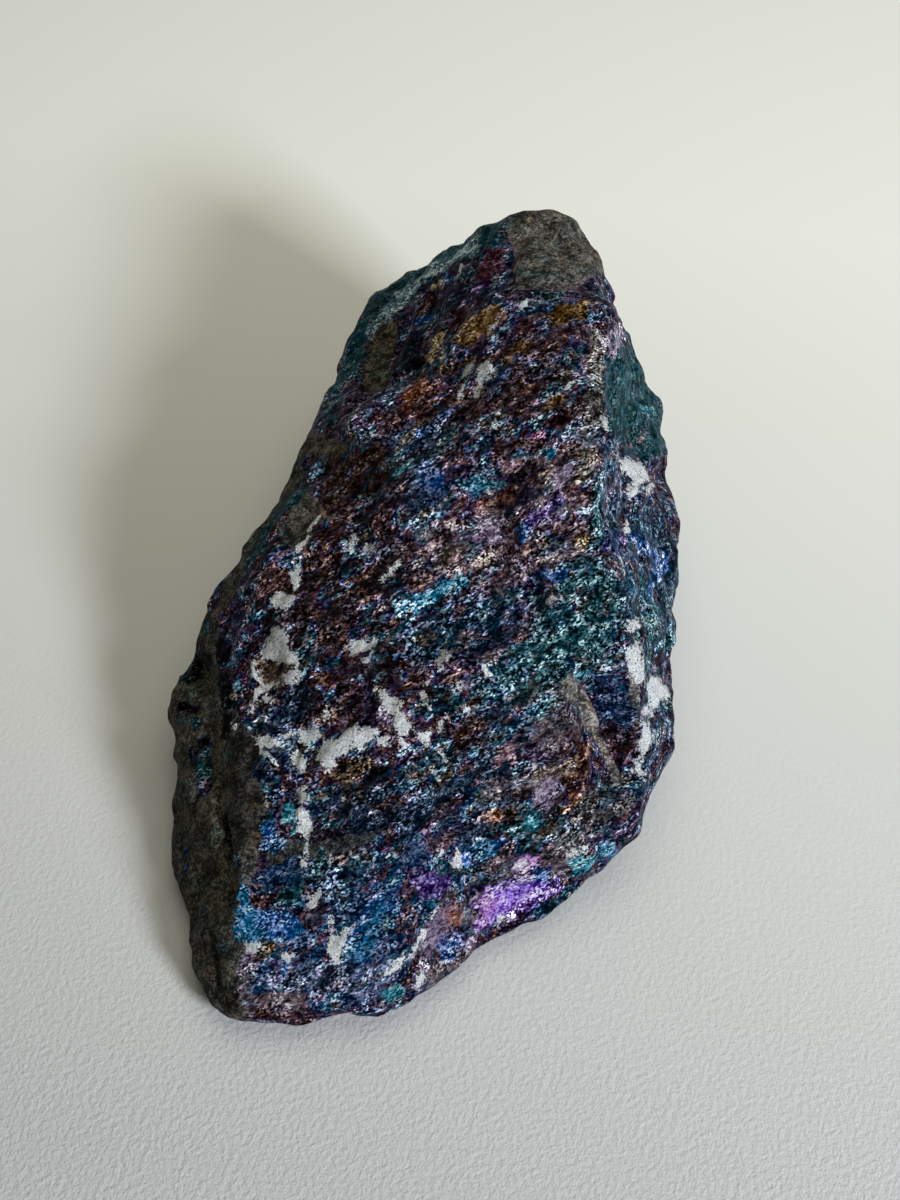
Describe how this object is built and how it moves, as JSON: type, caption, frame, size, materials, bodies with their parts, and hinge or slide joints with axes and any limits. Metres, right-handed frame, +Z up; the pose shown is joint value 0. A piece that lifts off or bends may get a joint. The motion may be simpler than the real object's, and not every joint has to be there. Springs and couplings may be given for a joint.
{
  "type": "chalcopyrite mineral specimen",
  "caption": "Hand-sized lump of tarnished chalcopyrite with a broad sloping face, a grey knob at its high end and a flat resting face.",
  "frame": {"origin": "middle of the footprint, on the face the lump rests on", "axes": "+Y along the lump towards its high end with the grey knob, +X towards the steep side at the right of the broad face, +Z up from the resting face"},
  "size_m": [0.068, 0.115, 0.047],
  "materials": {
    "tarnished_ore": "rough broken ore with an iridescent blue, purple, gold and green metallic tarnish, patches of matt white crust and dull grey rock at the tip and on the left side"
  },
  "bodies": {
    "root": {"chalcopyrite_specimen": "tarnished_ore"}
  },
  "joints": []
}
